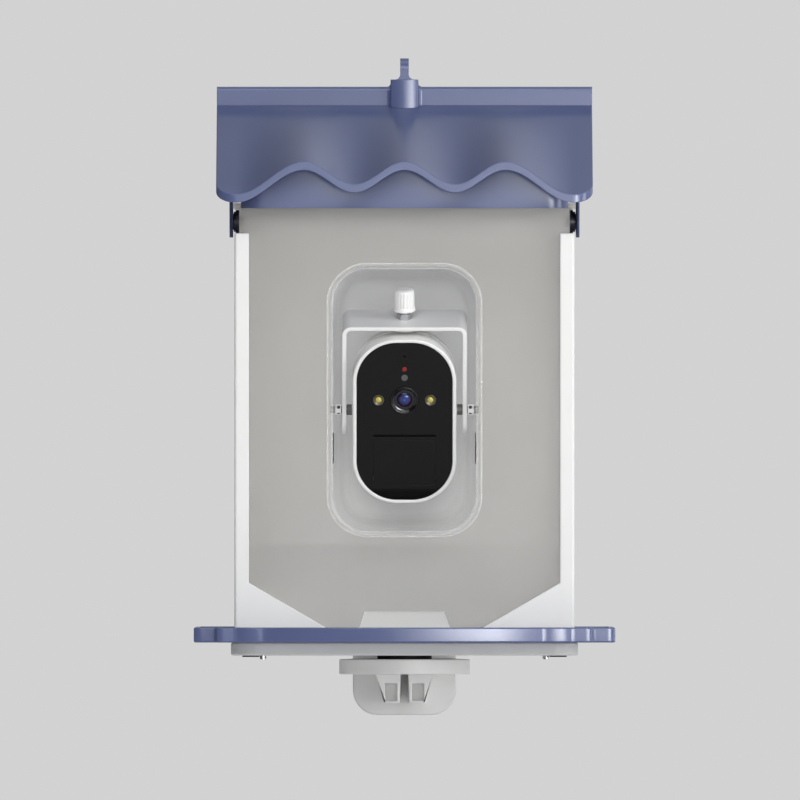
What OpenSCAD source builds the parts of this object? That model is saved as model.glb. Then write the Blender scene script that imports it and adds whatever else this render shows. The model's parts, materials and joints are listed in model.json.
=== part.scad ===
// Bird feeder with a camera: a clear-fronted seed hopper under a corrugated lid, with a camera on a
// tilting yoke in a bay in the window, a landing tray below and a bracket that screws to a wall.
// Millimetres. The wall is the plane Y = 0, the front faces -Y, +Z is up and the origin is the middle
// of the four wall screws.

/* [Housing] */
// Outside width of the housing
housing_w = 187; // [186:0.5:189]
// Depth of the housing from its front lips to its back
housing_d = 120; // [118:1:122]
// Height of the side walls above the tray's floor
housing_h = 221.8; // [216:0.2:228]
// Thickness of the moulded walls
wall = 2.3; // [2:0.1:2.4]
// Half width of the window opening between the lips
window_hw = 85.5; // [82:0.5:86]

/* [Roof] */
// Width of the roof
roof_w = 207; // [204:1:210]
// Height of the ridge above the hinge pins
ridge_rise = 64.1; // [62:0.1:68]
// How far the front eave reaches ahead of the ridge
eave_front = 95; // [90:1:100]
// How far the rear eave reaches behind the ridge
eave_back = 75; // [70:1:78]
// Length of one wave along the eave
wave_pitch = 55.3; // [54:0.1:56]
// Height of a wave along the eave
wave_h = 12.4; // [9:0.1:13]
// Thickness of the roof sheet, measured upright
sheet_t = 4.8; // [4:0.1:5.2]

/* [Camera bay] */
// Half width of the bay's lip
bay_hw = 42.2; // [41:0.1:44]
// Half height of the bay's lip
bay_hh = 75.6; // [74:0.1:77]
// Depth of the bay behind the window
bay_d = 74; // [74:1:77]

/* [Camera] */
// Width of the camera
cam_w = 57; // [56:0.5:57]
// Height of the camera
cam_h = 94.6; // [93:0.2:95]
// Corner radius of the camera
cam_r = 24.5; // [22:0.5:26]
// Tilt of the camera below the level
cam_tilt = 18; // [10:1:20]

/* [Tray and base] */
// Half width of the tray
tray_hw = 115.6; // [112:0.2:118]
// Height of the tray's rim
tray_h = 8.3; // [7:0.1:10]
// Thickness of the tray's floor and rim
tray_t = 3; // [2.5:0.1:3.5]
// Height of the base plate
base_h = 7.3; // [6.5:0.1:9]

/* [Wall bracket] */
// Half width of the arm
arm_hw = 36; // [34:0.5:38]
// Thickness of the arm
arm_t = 8.3; // [8:0.1:10]
// Half spacing of the wall screws, across and up
screw_half = 18; // [16:0.5:18]
// Radius of the wall screw holes
screw_r = 2.25; // [2:0.05:2.5]

/* [Hidden] */
$fn = 64;
hole = 0.05;

arm_top = -30;
washer_t = 2.2;
base_z = arm_top + washer_t;
tray_z = base_z + base_h;
floor_z = tray_z + tray_t;
tray_top = tray_z + tray_h;
inner_z = floor_z + 2.5;
wall_top = floor_z + housing_h;
pivot_y = -92;
pivot_z = wall_top + 6.9;
ridge_z = pivot_z + ridge_rise;
back_y = pivot_y + 52;
front_y = back_y - housing_d;
pane_y = front_y + 3;
pane_t = 2.5;
tank_hw = housing_w / 2 - wall - 0.3;
tank_t = 2.4;
tank_top = pivot_z + 9.8;
gusset_z = tray_top + 24.4;
gusset_x = 43.5;
gusset_slope = (gusset_z - tray_top) / (window_hw - gusset_x);
gusset_foot = gusset_x - (tray_top - inner_z) / gusset_slope;
bay_z = tray_top + 124.9;
bay_wall = 1.6;
lip_y = pane_y - 1.6;
bay_back = pane_y + bay_d;
tilt_y = -122;
tilt_z = tray_top + 119.7;
cam_c = -0.9;
face_v = -19;
seam_v = -5;
boss_w = cam_c + cam_h / 2 + 1.4;
bridge_w = boss_w + 2.6;
yoke_hw = 34.4;
arm_thick = 2.4;
base_y = -108;
ear_x = tank_hw + 3.6;
ear_t = 2;
fascia_z = pivot_z + 6.9;

// Shapes used more than once

// A rectangle with true round corners
module rounded(w, h, r) {
    square([w - 2 * r, h], center = true);
    square([w, h - 2 * r], center = true);
    for (x = [-1, 1], y = [-1, 1])
        translate([x * (w / 2 - r), y * (h / 2 - r)]) circle(r);
}

// Stands a flat drawing up, its x to +X and its y to +Z, and pushes it back from y0 to y1
module upright(y0, y1) {
    translate([0, y1, 0]) rotate([90, 0, 0]) linear_extrude(y1 - y0) children();
}

// Stands a flat drawing on its side, its x to +Y and its y to +Z, between x0 and x1
module sideways(x0, x1) {
    translate([x0, 0, 0]) rotate([90, 0, 90]) linear_extrude(x1 - x0) children();
}

// A round bar along X between x0 and x1
module bar_x(x0, x1, r) {
    translate([x0, 0, 0]) rotate([0, 90, 0]) cylinder(r = r, h = x1 - x0);
}

// A round bar along Y between y0 and y1
module bar_y(y0, y1, r) {
    translate([0, y0, 0]) rotate([-90, 0, 0]) cylinder(r = r, h = y1 - y0);
}

module both_sides() {
    children();
    mirror([1, 0, 0]) children();
}

// The way an edge faces in plan, turned by a from the front, and a run of points round c that face
// from a0 to a1, hollow where r is below zero
function way(a) = [sin(a), -cos(a)];
function bend(c, r, a0, a1, n) = [for (i = [0:n]) c + r * way(a0 + (a1 - a0) * i / n)];

// An outline on the other side, in the other order, and one without points that repeat
function flip_x(p) = [for (i = [len(p) - 1:-1:0]) [-p[i][0], p[i][1]]];
function flip_y(p) = [for (i = [len(p) - 1:-1:0]) [p[i][0], -p[i][1]]];
function distinct(p) = [
    for (i = [0:len(p) - 1]) if (norm(p[i] - p[i == 0 ? len(p) - 1 : i - 1]) > 0.01) p[i]];

// One corner of a rounded rectangle as points, and the whole ring at depth y, centred at height zc
function corner(x, z, r, a, n) = [for (i = [0:n]) [x + r * cos(a + 90 * i / n), z + r * sin(a + 90 * i / n)]];
function ring(w, h, r, y, zc = 0, n = 9) = [
    for (p = concat(
        corner(w / 2 - r, h / 2 - r, r, 0, n), corner(r - w / 2, h / 2 - r, r, 90, n),
        corner(r - w / 2, r - h / 2, r, 180, n), corner(w / 2 - r, r - h / 2, r, 270, n)))
    [p[0], y, p[1] + zc]
];

// A closed skin through rings of equal length, capped at both ends
module skin(rings) {
    n = len(rings[0]);
    m = len(rings);
    polyhedron(
        points = [for (r = rings) each r],
        faces = concat(
            [[for (i = [n - 1:-1:0]) i]],
            [for (j = [0:m - 2], i = [0:n - 1]) [j * n + i, j * n + (i + 1) % n, (j + 1) * n + i]],
            [for (j = [0:m - 2], i = [0:n - 1])
                [j * n + (i + 1) % n, (j + 1) * n + (i + 1) % n, (j + 1) * n + i]],
            [[for (i = [0:n - 1]) (m - 1) * n + i]]
        )
    );
}

// A slab between two grids of points that share their columns and rows
module slab(top, bottom) {
    m = len(top);
    n = len(top[0]);
    k = m * n;
    polyhedron(
        points = concat([for (r = top) each r], [for (r = bottom) each r]),
        faces = concat(
            [for (j = [0:m - 2], i = [0:n - 2]) [j * n + i, (j + 1) * n + i, j * n + i + 1]],
            [for (j = [0:m - 2], i = [0:n - 2]) [(j + 1) * n + i, (j + 1) * n + i + 1, j * n + i + 1]],
            [for (j = [0:m - 2], i = [0:n - 2]) [k + j * n + i, k + j * n + i + 1, k + (j + 1) * n + i]],
            [for (j = [0:m - 2], i = [0:n - 2])
                [k + (j + 1) * n + i, k + j * n + i + 1, k + (j + 1) * n + i + 1]],
            [for (i = [0:n - 2]) [i, i + 1, k + i]],
            [for (i = [0:n - 2]) [i + 1, k + i + 1, k + i]],
            [for (i = [0:n - 2]) let (b = (m - 1) * n) [b + i, k + b + i, b + i + 1]],
            [for (i = [0:n - 2]) let (b = (m - 1) * n) [b + i + 1, k + b + i, k + b + i + 1]],
            [for (j = [0:m - 2]) [j * n, k + j * n, (j + 1) * n]],
            [for (j = [0:m - 2]) [k + j * n, k + (j + 1) * n, (j + 1) * n]],
            [for (j = [0:m - 2]) let (e = n - 1) [j * n + e, (j + 1) * n + e, k + j * n + e]],
            [for (j = [0:m - 2]) let (e = n - 1) [k + j * n + e, (j + 1) * n + e, k + (j + 1) * n + e]]
        )
    );
}

// Roof lid

outer_x = 92.7;
crest_drop = 31.9;
outer_drop = 49.8;
ridge_hd = 3;
corner_r = roof_w / 2 - outer_x;

// Drop of the front eave's top edge below the ridge at x: waves, then a deep outer trough
function drop(x) = let (a = abs(x))
    a <= wave_pitch ? crest_drop + wave_h / 2 * (1 - cos(360 * a / wave_pitch))
    : crest_drop + (outer_drop - crest_drop) / 2
        * (1 - cos(180 * min(1, (a - wave_pitch) / (outer_x - wave_pitch))));
// Top of the sheet at x and y from the ridge: the wave fades to a straight line at the ridge
function sheet_z(x, y) = ridge_z - drop(x) * max(0, (abs(y) - ridge_hd) / (eave_front - ridge_hd));

roof_tail = [for (b = [15:15:90]) outer_x + corner_r * sin(b)];
roof_x = concat(
    [for (i = [5:-1:0]) -roof_tail[i]], [for (i = [0:56]) outer_x * (i / 28 - 1)], roof_tail);
// How far the round corner of the roof takes the eave back at x
function trim(x) = let (t = max(0, abs(x) - outer_x)) corner_r - sqrt(max(0, corner_r * corner_r - t * t));
// Place from the ridge, for a share u of the way to the front eave (side -1) or the rear one (side 1)
function sheet_y(x, side, u) =
    side * (ridge_hd + u * ((side < 0 ? eave_front : eave_back) - ridge_hd - trim(x)));
roof_rows = concat([for (k = [4:-1:0]) [-1, k / 4]], [for (k = [0:3]) [1, k / 3]]);

// The skirt's outer line in plan, with its outward direction
skirt_hw = 90;
skirt_r = 11;
skirt_flat = skirt_hw - skirt_r;
function skirt_bend(x, a) = [x + skirt_r * cos(a), skirt_r * sin(a) + skirt_r, cos(a), sin(a)];
skirt_path = concat(
    [for (a = [180:15:255]) skirt_bend(-skirt_flat, a)],
    [for (i = [0:24]) [skirt_flat * (i / 12 - 1), 0, 0, -1]],
    [for (a = [285:15:360]) skirt_bend(skirt_flat, a)]);
function skirt_top(x, y) = sheet_z(x, y - pivot_y) - sheet_t + 2;

module roof_skirt(y0, t) {
    rows = [for (s = [0, t]) [for (p = skirt_path) [p[0] - s * p[2], y0 + p[1] - s * p[3]]]];
    slab(
        [for (r = rows) [for (p = r) [p[0], p[1], skirt_top(p[0], p[1])]]],
        [for (r = rows) [for (p = r) [p[0], p[1], fascia_z]]]);
}

module roof_sheet() {
    top = [for (r = roof_rows) [for (x = roof_x)
        let (y = sheet_y(x, r[0], r[1])) [x, pivot_y + y, sheet_z(x, y)]]];
    slab(top, [for (r = top) [for (p = r) p - [0, 0, sheet_t]]]);
}

// A flat gable under the sheet that narrows to an ear on the hinge pin
module hinge_ear() {
    difference() {
        sideways(ear_x, ear_x + ear_t) {
            translate([pivot_y, pivot_z]) circle(8.7);
            polygon([
                [pivot_y - 8.7, pivot_z], [pivot_y - 15, pivot_z + 16], [pivot_y - 66, ridge_z - 40],
                [pivot_y - 66, ridge_z - 35.8], [pivot_y - 6, ridge_z - 2.4], [pivot_y + 6, ridge_z - 2.4],
                [pivot_y + 60, ridge_z - 32.5], [pivot_y + 60, ridge_z - 36.5], [pivot_y + 15, pivot_z + 16],
                [pivot_y + 8.7, pivot_z]]);
        }
        translate([0, pivot_y, pivot_z]) bar_x(ear_x - 1, ear_x + ear_t + 1, 4.5 + hole);
    }
}

module roof_shell() {
    color([0.40, 0.44, 0.57]) difference() {
        union() {
            resize([roof_w, 0, 0]) union() {
                roof_sheet();
                roof_skirt(pane_y - 13, 2);
            }
            both_sides() hinge_ear();
        }
        for (x = [-80, -25, 25, 80])
            translate([x, pivot_y, ridge_z - 10]) cylinder(r = 1.6, h = 20);
    }
}

// Bar along the ridge with the boss and the eye that the feeder hangs by
module ridge_cap() {
    boss_hw = 7.7;
    boss_hd = 7.5;
    boss_curve = 20;
    boss_top = 14.3;
    bar_h = 10.4;
    bar_r = 2;
    fillet = 2;
    eye_z = 19.6;
    slope = crest_drop / (eave_front - ridge_hd);
    under = [[ridge_hd, 0], [ridge_hd + 10, -10 * slope], [ridge_hd + 10, -6]];

    // A quarter of the boss in plan: a bowed front, a round corner and the hollow corner to the bar
    front_c = [0, boss_curve - boss_hd];
    corner_a = asin((boss_hw - 1) / (boss_curve - 1));
    boss_edge = concat(
        bend(front_c, boss_curve, 0, corner_a, 6),
        bend(front_c + (boss_curve - 1) * way(corner_a), 1, corner_a, 90, 4));
    boss_foot = concat(boss_edge, bend([boss_hw + fillet, -ridge_hd - fillet], -fillet, 90, 0, 6));

    module plan(edge) {
        half = concat(flip_x(edge), edge);
        polygon(distinct(concat(half, flip_y(half))));
    }

    // The corner between an upright side at x and a flat top at z, filled to a hollow curve
    module hollow(x, z, r, y) {
        both_sides() upright(-y, y) difference() {
            translate([x - 0.5, z - 0.5]) square([r + 0.5, r + 0.5]);
            translate([x + r, z + r]) circle(r);
        }
    }

    color([0.42, 0.46, 0.58]) translate([0, pivot_y, ridge_z]) difference() {
        union() {
            sideways(-roof_w / 2, roof_w / 2) {
                translate([0, bar_h / 2]) rounded(2 * ridge_hd, bar_h, bar_r);
                translate([-ridge_hd, 0]) square([2 * ridge_hd, bar_h / 2]);
            }
            linear_extrude(boss_top) plan(boss_edge);
            translate([0, 0, -2]) linear_extrude(bar_h - bar_r + 2) plan(boss_foot);
            hollow(boss_hw, bar_h, fillet, ridge_hd - bar_r);
            sideways(-2.35, 2.35) {
                translate([0, eye_z]) circle(6.5);
                translate([-6.5, boss_top - 1]) square([13, eye_z - boss_top + 1]);
            }
            hollow(2.35, boss_top, 3, 6.5);
        }
        sideways(-2 * boss_hw, 2 * boss_hw)
            polygon(concat(under, [for (i = [2:-1:0]) [-under[i][0], under[i][1]]]));
        translate([0, 0, eye_z]) bar_x(-5, 5, 2.75);
        for (x = [-80, -25, 25, 80]) translate([x, 0, -1]) cylinder(r = 1.3, h = 8);
    }
}

module ridge_screws() {
    color("silver") for (x = [-80, -25, 25, 80]) translate([x, pivot_y, ridge_z - sheet_t]) {
        translate([0, 0, -1.9]) cylinder(r = 2.9, h = 1.9);
        cylinder(r = 1.25, h = sheet_t + 6);
    }
}

// Hinge pins of the lid, screwed to the clear tank's sides

module hinge_pin() {
    color([0.17, 0.17, 0.24]) translate([0, pivot_y, pivot_z]) difference() {
        union() {
            bar_x(tank_hw - tank_t, tank_hw, 2.5);
            bar_x(tank_hw, tank_hw + 2, 6.5);
            bar_x(tank_hw + 2, ear_x - 0.3, 5.6);
            bar_x(ear_x - 0.3, ear_x + ear_t - 0.2, 4.5);
        }
        bar_x(tank_hw - tank_t - 1, tank_hw + 2.5, 1.25);
    }
}

module hinge_pin_right() { hinge_pin(); }

module hinge_pin_left() { mirror([1, 0, 0]) hinge_pin(); }

module hinge_pin_screws() {
    color("silver") both_sides() translate([0, pivot_y, pivot_z]) {
        bar_x(tank_hw - tank_t - 1.8, tank_hw - tank_t, 2.8);
        bar_x(tank_hw - tank_t, tank_hw + 2, 1.2);
    }
}

// Body

screw_spots = [for (x = [-77.9, 77.9], y = [front_y + 14, back_y - 22]) [x, y]];

module housing() {
    mid_y = (front_y + back_y) / 2;
    inner_d = back_y - wall - pane_y;
    color([0.93, 0.93, 0.92]) {
        difference() {
            union() {
                difference() {
                    translate([0, mid_y, floor_z]) linear_extrude(wall_top + 16.9 - floor_z)
                        rounded(housing_w, housing_d, 1.4);
                    translate([wall - housing_w / 2, pane_y, inner_z])
                        cube([housing_w - 2 * wall, inner_d, 300]);
                    upright(front_y - 1, pane_y + 1) polygon([
                        [-gusset_foot, inner_z], [-window_hw, gusset_z], [-window_hw, wall_top + 20],
                        [window_hw, wall_top + 20], [window_hw, gusset_z], [gusset_foot, inner_z]]);
                    translate([-150, front_y - 1, wall_top]) cube([300, housing_d - 13, 50]);
                }
                both_sides() translate([tank_hw - 4, -59.6, inner_z - 0.1])
                    cube([4.5, 2.6, wall_top - inner_z - 5]);
                for (p = screw_spots) translate([p[0], p[1], inner_z - 0.1]) cylinder(r = 3.5, h = 8);
            }
            for (p = screw_spots) translate([p[0], p[1], floor_z - 1]) cylinder(r = 1.15, h = 12);
        }
    }
}

// Clear front and sides of the seed hopper, with the outlet at the foot and the opening for the bay
module hopper_window() {
    color([0.8, 0.82, 0.84, 0.4]) difference() {
        union() {
            translate([-tank_hw, pane_y, inner_z]) cube([2 * tank_hw, pane_t, tank_top - inner_z]);
            both_sides() translate([tank_hw - tank_t, pane_y, inner_z])
                cube([tank_t, -60 - pane_y, tank_top - inner_z]);
            both_sides() translate([tank_hw - 1, pane_y, fascia_z])
                cube([4.3, -60 - pane_y, tank_top - fascia_z]);
        }
        upright(pane_y - 1, pane_y + pane_t + 1) {
            translate([0, bay_z]) rounded(2 * bay_hw - 3, 2 * bay_hh - 3, 20.8);
            polygon([
                [-26, inner_z - 1], [-22, tray_top + 8.5], [22, tray_top + 8.5], [26, inner_z - 1]]);
        }
        translate([0, pivot_y, pivot_z]) bar_x(-150, 150, 2.6);
    }
}

// Clear drafted pocket for the camera, with a lip in front of the window, and a boss and a slot in
// each side
module camera_bay() {
    color([0.8, 0.82, 0.84, 0.4]) difference() {
        union() {
            skin([
                ring(67, 133.6, 17, bay_back, bay_z),
                ring(2 * bay_hw - 6.6, 2 * bay_hh - 6.6, 19, lip_y, bay_z),
                ring(2 * bay_hw, 2 * bay_hh, 22.3, lip_y, bay_z),
                ring(2 * bay_hw, 2 * bay_hh, 22.3, pane_y, bay_z),
                ring(2 * bay_hw - 3.6, 2 * bay_hh - 3.6, 20.5, pane_y, bay_z),
                ring(67 + 2 * bay_wall, 133.6 + 2 * bay_wall, 17 + bay_wall, bay_back + bay_wall, bay_z)
            ]);
            both_sides() translate([yoke_hw + 0.3, tilt_y - 3, tilt_z - 3]) cube([8.3, 6, 6]);
        }
        translate([0, tilt_y, tilt_z]) both_sides() bar_x(yoke_hw - 1, 41.5, 2.05);
        both_sides() translate([bay_hw - 8, lip_y + 5, tilt_z - 29.7]) cube([8, 6, 17]);
    }
}

// Sloping floor that leads the seed to the outlet
module seed_ramp() {
    hw = tank_hw - 4.3;
    y0 = pane_y + pane_t + 0.2;
    y1 = back_y - wall - 0.3;
    rise = 45.5;
    s = rise / (y1 - y0);
    g = gusset_slope;
    f = gusset_foot;
    color([0.93, 0.93, 0.92]) difference() {
        union() {
            sideways(-hw, hw)
                polygon([[y0, inner_z], [y1, inner_z], [y1, inner_z + 2.5 + rise], [y0, inner_z + 2.5]]);
            both_sides() upright(y0, y1)
                polygon([[f, inner_z], [hw, inner_z], [hw, inner_z + (hw - f) * g]]);
        }
        sideways(2.5 - hw, hw - 2.5) polygon([
            [y0 + 6, inner_z - 1], [y1 - 2.5, inner_z - 1],
            [y1 - 2.5, inner_z - 0.2 + rise - 2.5 * s], [y0 + 6, inner_z - 0.2 + 6 * s]]);
        both_sides() upright(y0 + 2.5, y1 - 2.5) polygon([
            [f + 8, inner_z - 1], [hw - 2.5, inner_z - 1],
            [hw - 2.5, inner_z + (hw - 2.5 - f) * g - 2.9], [f + 8, inner_z + 8 * g - 2.9]]);
    }
}

// Tray, base and pads

// Right half of the tray in plan, from the middle of the front round to the back: a bowed lobe, a flat
// bow, a shoulder and the wing, run into each other by hollow curves
lobe_c = [0, -2];
dip_c = lobe_c + (230 + 10) * way(19);
bow_c = dip_c - (10 + 31) * way(-2.5);
foot_c = bow_c + (31 + 9) * way(20.4);
shoulder_c = [99.3, foot_c[1] + 9 + 7.8];
shoulder_end = shoulder_c + (7.8 - 1) * way(25);
wing_y = -207;
wing_c = [tray_hw - 1 - (7.4 - 1) * sin(32), wing_y + 7.4];
tray_edge = concat(
    bend(lobe_c, 230, 0, 19, 12),
    bend(dip_c, -10, 19, -2.5, 9),
    bend(bow_c, 31, -2.5, 20.4, 9),
    bend(foot_c, -9, 20.4, 0, 8),
    bend(shoulder_c, 7.8, 0, 25, 8),
    bend(shoulder_end, 1, 25, 90, 4),
    bend([shoulder_end[0] + 2.5, wing_y - 1.5], -1.5, 90, 0, 6),
    bend(wing_c, 7.4, 0, 32, 8),
    bend(wing_c + (7.4 - 1) * way(32), 1, 32, 90, 4),
    bend([tray_hw - 5, back_y], 5, 90, 180, 8));

module tray_plan(inset) {
    offset(delta = -inset) polygon(distinct(concat(flip_x(tray_edge), tray_edge)));
}

module feeding_tray() {
    color([0.42, 0.45, 0.58]) difference() {
        translate([0, 0, tray_z]) linear_extrude(tray_h) tray_plan(0);
        translate([0, 0, floor_z]) linear_extrude(tray_h) tray_plan(tray_t);
        for (p = screw_spots) translate([p[0], p[1], tray_z - 1]) cylinder(r = 1.4, h = 10);
        for (x = [-60:20:60], y = [-205, -188]) translate([x, y, tray_z - 1]) cylinder(r = 1.8, h = 10);
    }
}

module base_plate() {
    color([0.9, 0.9, 0.89]) difference() {
        union() {
            difference() {
                translate([0, base_y - 1, base_z]) linear_extrude(base_h) rounded(190.8, 122, 14);
                translate([0, base_y - 1, base_z + 2.5]) linear_extrude(base_h) rounded(185.8, 117, 11.5);
            }
            translate([0, base_y, base_z]) cylinder(r = 9, h = base_h);
            for (p = screw_spots) translate([p[0], p[1], base_z]) cylinder(r = 4, h = base_h);
        }
        translate([0, base_y, base_z - 1]) cylinder(r = 5 + hole, h = 7.1);
        for (p = screw_spots) translate([p[0], p[1], base_z - 1]) cylinder(r = 1.4, h = 20);
    }
}

module threaded_insert() {
    color("goldenrod") translate([0, base_y, base_z]) difference() {
        cylinder(r = 5, h = 6);
        translate([0, 0, -1]) cylinder(r = 3.15, h = 8);
    }
}

module base_screws() {
    color("silver") for (p = screw_spots) translate([p[0], p[1], base_z]) {
        translate([0, 0, -2.1]) cylinder(r = 1.6, h = 2.1);
        cylinder(r = 1.1, h = inner_z - base_z + 5);
    }
}

module base_pads() {
    color([0.1, 0.1, 0.1]) for (x = [-84.5, 84.5], y = [front_y + 10, back_y - 26])
        translate([x, y, base_z - 0.8]) linear_extrude(0.8) rounded(9.4, 16, 4);
}

// Wall mount

module rubber_washer() {
    color([0.07, 0.07, 0.07]) translate([0, base_y, arm_top]) difference() {
        cylinder(r = 15, h = washer_t);
        translate([0, 0, -1]) cylinder(r = 3.5, h = 5);
    }
}

module wall_bracket() {
    plate_t = 5;
    plate_top = 32;
    plate_z = -61.4;
    rib_front = -92;
    rib_h = 16.4;
    foot = [26, -plate_t];
    reach = foot - [0, base_y];
    touch = atan2(reach[1], reach[0]) - acos(arm_hw / norm(reach));
    tip = [arm_hw * cos(touch), base_y + arm_hw * sin(touch)];
    color([0.88, 0.88, 0.87]) difference() {
        union() {
            translate([0, 0, arm_top - arm_t]) linear_extrude(arm_t) {
                translate([0, base_y]) circle(arm_hw, $fn = 96);
                polygon([tip, foot + [0, 2], [-foot[0], foot[1] + 2], [-tip[0], tip[1]]]);
            }
            upright(-plate_t, 0) translate([0, (plate_top + plate_z) / 2])
                rounded(57.2, plate_top - plate_z, 14);
            both_sides() translate([0, 0, arm_top - arm_t + 0.4]) difference() {
                upright(rib_front, -2) polygon([[2, 0], [16.5, 0], [11, -rib_h], [2.6, -rib_h]]);
                translate([4.2, rib_front - 1, 1.2 - rib_h])
                    cube([6.5, -plate_t - 1 - rib_front, rib_h - 6.8]);
            }
        }
        for (x = [-screw_half, screw_half], z = [-screw_half, screw_half]) translate([x, 0, z]) {
            bar_y(-10, 5, screw_r);
            translate([0, -plate_t - 0.01, 0]) rotate([-90, 0, 0]) cylinder(r1 = 4.8, r2 = screw_r, h = 2.6);
        }
        translate([0, base_y, arm_top - arm_t - 1]) {
            cylinder(r = 3.3, h = 20);
            cylinder(r = 6.8, h = 6);
        }
    }
}

module bracket_screw() {
    head_top = arm_top - arm_t + 5;
    color("silver") translate([0, base_y, 0]) difference() {
        union() {
            translate([0, 0, head_top - 4.5]) cylinder(r = 6, h = 4.5);
            translate([0, 0, head_top]) cylinder(r = 3.1, h = base_z + 5.5 - head_top);
        }
        translate([0, 0, head_top - 5.5]) cylinder(r = 2.9, h = 3.5, $fn = 6);
    }
}

// Camera and its yoke, drawn level about the tilt axis and then tilted down

module cam_frame() {
    translate([0, tilt_y, tilt_z]) rotate([cam_tilt, 0, 0]) children();
}

// Height on the camera's face of a point seen dz above its middle
function face_z(dz) = cam_c + dz / cos(cam_tilt);
lens_z = face_z(11.7);
lamp_x = 14.3;
window_z = face_z(-22.8);

module tilt_screws() {
    color([0.55, 0.56, 0.58]) translate([0, tilt_y, tilt_z]) both_sides() {
        bar_x(yoke_hw - arm_thick - 3, yoke_hw - arm_thick - 0.1, 3);
        bar_x(yoke_hw - arm_thick - 0.1, 41, 2);
    }
}

module yoke() {
    top = bridge_w + 2.2;
    color([0.93, 0.93, 0.92]) cam_frame() difference() {
        intersection() {
            upright(-20, 20) difference() {
                translate([0, top - 50]) rounded(2 * yoke_hw, 100, 5);
                translate([0, bridge_w - 60]) rounded(2 * (yoke_hw - arm_thick), 120, 2.6);
            }
            sideways(-40, 40) polygon(concat(
                [[8, 8], [16, 36], [16, 60], [-16, 60], [-16, 36], [-8, 8]],
                [for (a = [180:10:360]) [8 * cos(a), 8 * sin(a) - 6]]));
        }
        bar_x(-40, 40, 2 + hole);
        translate([0, 0, 40]) cylinder(r = 2.15, h = 20);
    }
}

module mount_pad() {
    color([0.93, 0.93, 0.92]) cam_frame() translate([0, 0, boss_w]) difference() {
        cylinder(r = 9.8, h = 2.6);
        translate([0, 0, -1]) cylinder(r = 2.15, h = 5);
    }
}

module mount_insert() {
    color("goldenrod") cam_frame() translate([0, 0, boss_w - 8]) difference() {
        cylinder(r = 3.5, h = 8);
        translate([0, 0, -1]) cylinder(r = 2 + hole, h = 10);
    }
}

knob_w = bridge_w + 7;

module thumb_knob() {
    color([0.95, 0.95, 0.94]) cam_frame() translate([0, 0, knob_w]) difference() {
        rotate_extrude() polygon([
            [0, 0], [6.1, 0], [6.1, 0.8], [5.5, 2.6], [5.5, 10.8], [4.6, 12], [3, 12.5], [0, 12.5]]);
        for (a = [0:20:340]) rotate(a) translate([5.75, 0, 2.2]) cylinder(r = 0.55, h = 20, $fn = 16);
        translate([0, 0, -1]) cylinder(r = 2 + hole, h = 7.4);
    }
}

module thumb_stud() {
    color("silver") cam_frame() {
        translate([0, 0, boss_w - 6.5]) cylinder(r = 2, h = knob_w + 6.2 - boss_w + 6.5);
        translate([0, 0, knob_w - 1.4]) cylinder(r = 3.3, h = 1.4);
    }
}

module jam_nut() {
    color("silver") cam_frame() translate([0, 0, bridge_w + 2.3]) difference() {
        cylinder(r = 4.04, h = 3.2, $fn = 6);
        translate([0, 0, -1]) cylinder(r = 2 + hole, h = 6);
    }
}

// White ring round the face, with the boss on top that the knob's stud screws into
module camera_body() {
    color([0.95, 0.95, 0.94]) cam_frame() difference() {
        union() {
            difference() {
                upright(face_v, seam_v) translate([0, cam_c]) rounded(cam_w, cam_h, cam_r);
                upright(face_v - 1, face_v + 3.2) translate([0, cam_c])
                    rounded(cam_w - 4.2, cam_h - 3.9, cam_r - 2.1);
                upright(face_v + 3, seam_v + 1) translate([0, cam_c])
                    rounded(cam_w - 8, cam_h - 6.6, cam_r - 4);
            }
            translate([0, 0, 38]) cylinder(r = 8, h = boss_w - 38);
        }
        translate([0, 0, 30]) cylinder(r = 3.5 + hole, h = 40);
    }
}

shell_steps = [[-5, 0], [4, 0.8], [11, 3], [17, 7], [21.5, 12.5], [24, 19]];
hollow_steps = [[20.5, 15.5], [16, 9.5], [10, 5.4], [3, 3.1], [-5, 2.3]];
function cam_ring(s) = ring(cam_w - 2 * s[1], cam_h - 2 * s[1], max(cam_r - s[1], 6), s[0], cam_c);

// Domed cover behind the seam, hollow inside
module camera_back() {
    color([0.93, 0.93, 0.92]) cam_frame() difference() {
        skin(concat([for (s = hollow_steps) cam_ring(s)], [for (s = shell_steps) cam_ring(s)]));
        translate([0, 0, 37.5]) cylinder(r = 8.3, h = 30);
    }
}

module camera_face() {
    v0 = face_v + 0.4;
    color([0.05, 0.05, 0.05]) cam_frame() difference() {
        upright(v0, v0 + 2.2) translate([0, cam_c]) rounded(cam_w - 4.4, cam_h - 4.1, cam_r - 2.2);
        translate([0, 0, lens_z]) bar_y(-30, 0, 7.65);
        for (x = [-lamp_x, lamp_x]) translate([x, 0, lens_z]) bar_y(-30, 0, 3.05);
        translate([0, 0, face_z(28.7)]) bar_y(-30, 0, 1.35);
        translate([0, 0, face_z(24)]) bar_y(-30, 0, 1.85);
        translate([0, 0, face_z(35.6)]) bar_y(-30, 0, 0.6);
        translate([-17.2, v0 - 1, face_z(-7.9) - 0.6]) cube([34.4, 2.3, 1.2]);
        translate([-23, v0 - 1, face_z(-37.6) - 0.2]) cube([46, 1.25, 0.4]);
        upright(-30, 0) translate([0, window_z]) rounded(34.3, 26.3, 3.15);
    }
}

module face_gasket() {
    v0 = face_v + 2.6;
    color([0.08, 0.08, 0.08]) cam_frame() upright(v0, v0 + 0.6) translate([0, cam_c]) difference() {
        rounded(cam_w - 4.6, cam_h - 4.3, cam_r - 2.3);
        rounded(cam_w - 7.8, cam_h - 6.3, cam_r - 3.7);
    }
}

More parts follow.
